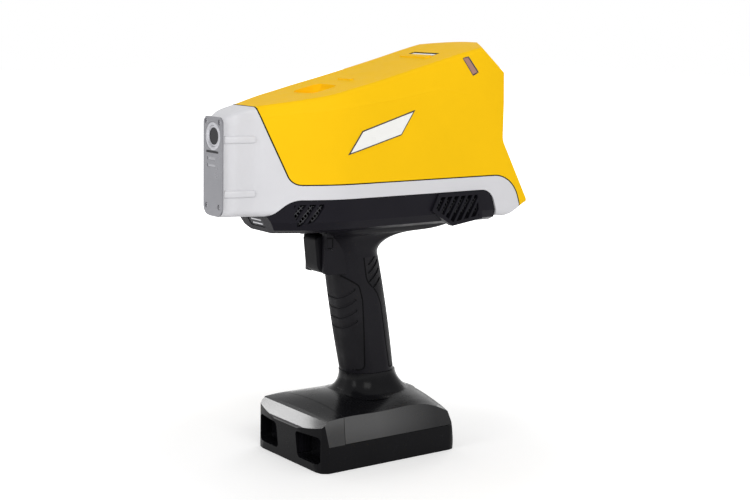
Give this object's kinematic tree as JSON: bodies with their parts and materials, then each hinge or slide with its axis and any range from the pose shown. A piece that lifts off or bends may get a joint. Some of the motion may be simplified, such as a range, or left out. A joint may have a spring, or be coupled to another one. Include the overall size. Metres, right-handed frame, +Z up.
{
  "type": "handheld xrf analyzer",
  "caption": "Pistol-grip handheld X-ray fluorescence analyzer with a sprung trigger, rear display and keypad, measuring nose and a slide-off battery base.",
  "frame": {"origin": "middle of the battery base's underside, on the surface the analyzer stands on", "axes": "+Z up; the measuring nose points to -X, the display faces +X, the user's left hand side is -Y"},
  "size_m": [0.2385, 0.083, 0.2866],
  "materials": {
    "cover_plastic": "satin moulded yellow",
    "casing_plastic": "satin light grey",
    "belly_plastic": "fine moulded texture",
    "grille_metal": "satin",
    "plate_paint": "satin grey",
    "ring_steel": "turned",
    "window_film": "smooth film",
    "dark_lens": "polished",
    "sensor_metal": "satin",
    "light_lens": "polished",
    "bezel_plastic": "fine texture",
    "display_glass": "polished",
    "display_panel": "smooth",
    "board": "solder mask",
    "frame_aluminium": "machined",
    "instrument_steel": "turned",
    "supply_paint": "satin",
    "fan_plastic": "moulded",
    "handle_plastic": "satin black",
    "grip_rubber": "soft rubber",
    "switch_plastic": "moulded",
    "base_plastic": "gloss black",
    "contact_brass": "plated",
    "cell_sleeve": "sleeve",
    "key_rubber": "soft key"
  },
  "bodies": {
    "housing": {"base_dock": "base_plastic", "belly_casing": "belly_plastic", "detector": "instrument_steel", "display_glass": "display_glass", "display_module": "display_panel", "dock_contacts": "contact_brass", "fan_frame": "fan_plastic", "filter_motor": "instrument_steel", "front_grip": "grip_rubber", "handle_core": "handle_plastic", "heat_sink": "frame_aluminium", "hv_supply": "supply_paint", "instrument_frame": "frame_aluminium", "keypad_board": "board", "left_light": "light_lens", "lower_sensor": "sensor_metal", "main_board": "board", "nose_casing": "casing_plastic", "nose_plate": "plate_paint", "port_grille": "grille_metal", "rear_bezel": "bezel_plastic", "rear_grip": "grip_rubber", "right_light": "light_lens", "roof_light": "light_lens", "sensor_slot": "dark_lens", "source_mount": "frame_aluminium", "top_cover": "cover_plastic", "trigger_pin": "instrument_steel", "trigger_spring": "instrument_steel", "trigger_switch": "switch_plastic", "upper_sensor": "sensor_metal", "window_film": "window_film", "window_ring": "ring_steel", "xray_tube": "instrument_steel"},
    "battery": {"battery_case": "base_plastic", "left_cell": "cell_sleeve", "middle_cell": "cell_sleeve", "right_cell": "cell_sleeve", "battery_board": "board", "battery_terminals": "contact_brass"},
    "left_latch": {"left_latch": "handle_plastic"},
    "right_latch": {"right_latch": "handle_plastic"},
    "trigger": {"trigger": "handle_plastic"},
    "fan_rotor": {"fan_rotor": "fan_plastic"},
    "filter_wheel": {"filter_wheel": "instrument_steel"},
    "back_key": {"back_key": "key_rubber"},
    "centre_key": {"centre_key": "key_rubber"},
    "down_key": {"down_key": "key_rubber"},
    "home_key": {"home_key": "key_rubber"},
    "left_key": {"left_key": "key_rubber"},
    "menu_key": {"menu_key": "key_rubber"},
    "power_key": {"power_key": "key_rubber"},
    "right_key": {"right_key": "key_rubber"},
    "up_key": {"up_key": "key_rubber"}
  },
  "joints": [
    {"name": "trigger_pull", "type": "hinge", "parent": "housing", "child": "trigger", "pos_m": [-0.031, 0, 0.1525], "axis": [0, -1, 0], "range_deg": [0, 8], "stiffness_Nm_per_rad": 0.2, "springref_deg": -17.19},
    {"name": "battery_slide", "type": "slide", "parent": "housing", "child": "battery", "axis": [-1, 0, 0], "range_m": [0, 0.09]},
    {"name": "left_latch_press", "type": "slide", "parent": "battery", "child": "left_latch", "axis": [0, 1, 0], "range_m": [0, 0.0025], "stiffness_N_per_m": 400, "springref_m": -0.004},
    {"name": "right_latch_press", "type": "slide", "parent": "battery", "child": "right_latch", "axis": [0, -1, 0], "range_m": [0, 0.0025], "stiffness_N_per_m": 400, "springref_m": -0.004},
    {"name": "fan_spin", "type": "hinge", "parent": "housing", "child": "fan_rotor", "pos_m": [0.058, -0.025, 0.1756], "axis": [0, 1, 0], "continuous": true},
    {"name": "filter_turn", "type": "hinge", "parent": "housing", "child": "filter_wheel", "pos_m": [-0.10236, 0, 0.21194], "axis": [0.866, 0, -0.5], "continuous": true},
    {"name": "back_key_press", "type": "slide", "parent": "housing", "child": "back_key", "axis": [-0.8776, 0, -0.4794], "range_m": [0, 0.0008], "stiffness_N_per_m": 1500, "springref_m": -0.0005},
    {"name": "centre_key_press", "type": "slide", "parent": "housing", "child": "centre_key", "axis": [-0.8776, 0, -0.4794], "range_m": [0, 0.0008], "stiffness_N_per_m": 1500, "springref_m": -0.0005},
    {"name": "down_key_press", "type": "slide", "parent": "housing", "child": "down_key", "axis": [-0.8776, 0, -0.4794], "range_m": [0, 0.0008], "stiffness_N_per_m": 1500, "springref_m": -0.0005},
    {"name": "home_key_press", "type": "slide", "parent": "housing", "child": "home_key", "axis": [-0.8776, 0, -0.4794], "range_m": [0, 0.0008], "stiffness_N_per_m": 1500, "springref_m": -0.0005},
    {"name": "left_key_press", "type": "slide", "parent": "housing", "child": "left_key", "axis": [-0.8776, 0, -0.4794], "range_m": [0, 0.0008], "stiffness_N_per_m": 1500, "springref_m": -0.0005},
    {"name": "menu_key_press", "type": "slide", "parent": "housing", "child": "menu_key", "axis": [-0.8776, 0, -0.4794], "range_m": [0, 0.0008], "stiffness_N_per_m": 1500, "springref_m": -0.0005},
    {"name": "power_key_press", "type": "slide", "parent": "housing", "child": "power_key", "axis": [-0.8776, 0, -0.4794], "range_m": [0, 0.0008], "stiffness_N_per_m": 1500, "springref_m": -0.0005},
    {"name": "right_key_press", "type": "slide", "parent": "housing", "child": "right_key", "axis": [-0.8776, 0, -0.4794], "range_m": [0, 0.0008], "stiffness_N_per_m": 1500, "springref_m": -0.0005},
    {"name": "up_key_press", "type": "slide", "parent": "housing", "child": "up_key", "axis": [-0.8776, 0, -0.4794], "range_m": [0, 0.0008], "stiffness_N_per_m": 1500, "springref_m": -0.0005}
  ]
}
